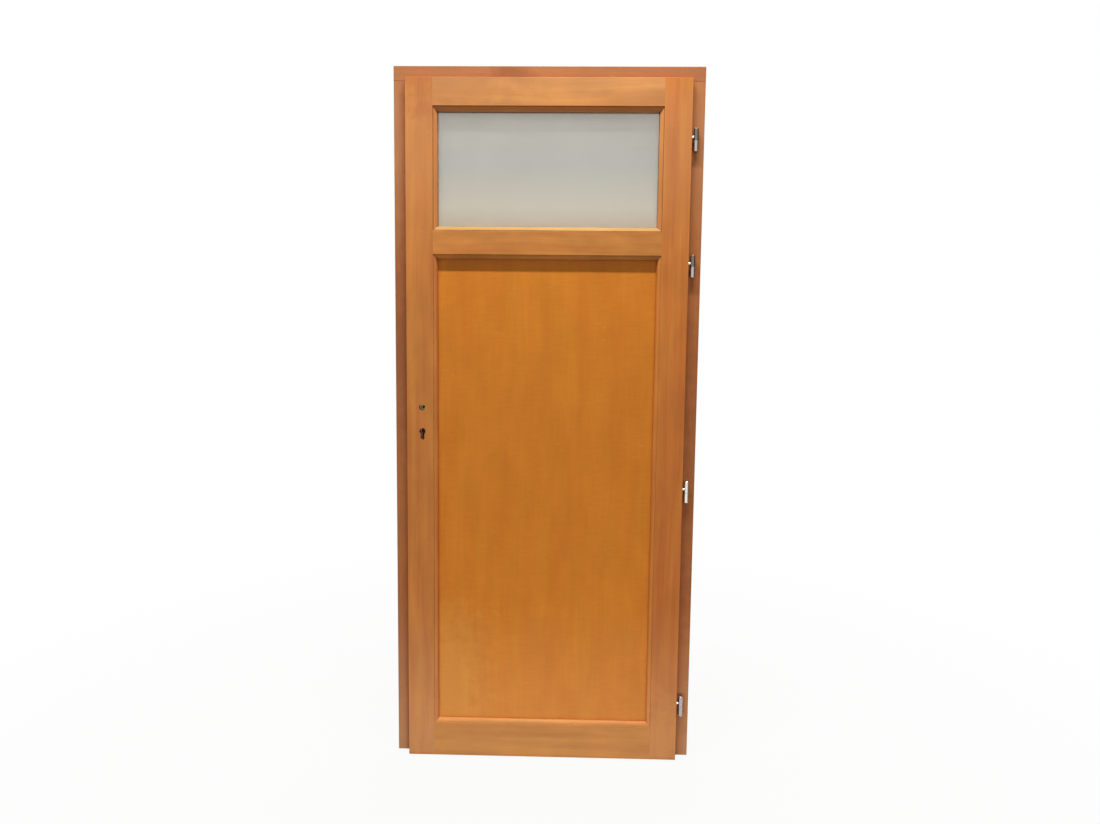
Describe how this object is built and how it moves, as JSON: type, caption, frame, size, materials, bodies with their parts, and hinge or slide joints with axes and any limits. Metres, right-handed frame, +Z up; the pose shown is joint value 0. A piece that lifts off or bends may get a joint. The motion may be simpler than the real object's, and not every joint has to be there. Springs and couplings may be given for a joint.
{
  "type": "glazed wooden back door with frame",
  "caption": "Rebated wooden door leaf with a frosted glass pane over a flat panel, hung on lift-off hinges in its own wooden frame, with a mortise lock and no handles.",
  "frame": {"origin": "centre of the whole door's width and depth, at the foot of the leaf", "axes": "+X towards the hinge side, +Y from the room side to the far side, +Z up"},
  "size_m": [0.904, 0.0858, 2.082],
  "materials": {
    "frame_wood": "oiled red-brown hardwood, satin",
    "leaf_wood": "varnished honey-coloured hardwood, satin",
    "panel_veneer": "varnished veneer with straight fine grain, satin",
    "bead_wood": "varnished orange hardwood, satin",
    "frosted_glass": "frosted, not see-through",
    "hinge_steel": "zinc-plated, satin",
    "lock_steel": "zinc-plated sheet and plain steel",
    "lock_brass": "dull cast brass"
  },
  "bodies": {
    "frame": {"head": "frame_wood", "jamb_lock_side": "frame_wood", "jamb_hinge_side": "frame_wood", "strike_plate": "lock_steel", "strike_screws": "lock_steel", "hinge_1_frame_knuckle": "hinge_steel", "hinge_1_pin": "hinge_steel", "hinge_1_washer": "lock_brass", "hinge_2_frame_knuckle": "hinge_steel", "hinge_2_pin": "hinge_steel", "hinge_2_washer": "lock_brass", "hinge_3_frame_knuckle": "hinge_steel", "hinge_3_pin": "hinge_steel", "hinge_3_washer": "lock_brass", "hinge_4_frame_knuckle": "hinge_steel", "hinge_4_pin": "hinge_steel", "hinge_4_washer": "lock_brass"},
    "leaf": {"stile_lock_side": "leaf_wood", "stile_hinge_side": "leaf_wood", "top_rail": "leaf_wood", "mid_rail": "leaf_wood", "bottom_rail": "leaf_wood", "panel": "panel_veneer", "glass_pane": "frosted_glass", "glazing_bead_top": "bead_wood", "glazing_bead_bottom": "bead_wood", "glazing_bead_lock_side": "bead_wood", "glazing_bead_hinge_side": "bead_wood", "lock_case": "lock_steel", "lock_cover": "lock_steel", "lock_forend": "lock_steel", "forend_screws": "lock_steel", "latch_spring": "lock_steel", "hinge_1_leaf_knuckle": "hinge_steel", "hinge_2_leaf_knuckle": "hinge_steel", "hinge_3_leaf_knuckle": "hinge_steel", "hinge_4_leaf_knuckle": "hinge_steel"},
    "follower": {"follower": "lock_brass"},
    "latch": {"latch_bolt": "lock_brass"},
    "deadbolt": {"deadbolt": "lock_brass"}
  },
  "joints": [
    {"name": "leaf_swing", "type": "hinge", "parent": "frame", "child": "leaf", "pos_m": [0.427, -0.0354, 0], "axis": [0, 0, 1], "range_deg": [0, 170]},
    {"name": "follower_turn", "type": "hinge", "parent": "leaf", "child": "follower", "pos_m": [-0.3695, -0.0154, 1.09], "axis": [0, -1, 0], "range_deg": [0, 35]},
    {"name": "latch_slide", "type": "slide", "parent": "leaf", "child": "latch", "axis": [-1, 0, 0], "range_m": [0, 0.0105], "deforming": ["latch_spring"]},
    {"name": "deadbolt_slide", "type": "slide", "parent": "leaf", "child": "deadbolt", "axis": [-1, 0, 0], "range_m": [0, 0.02]}
  ],
  "couplings": [
    {"joint": "follower_turn", "follows": "latch_slide", "rad_per_m": 58.178}
  ]
}
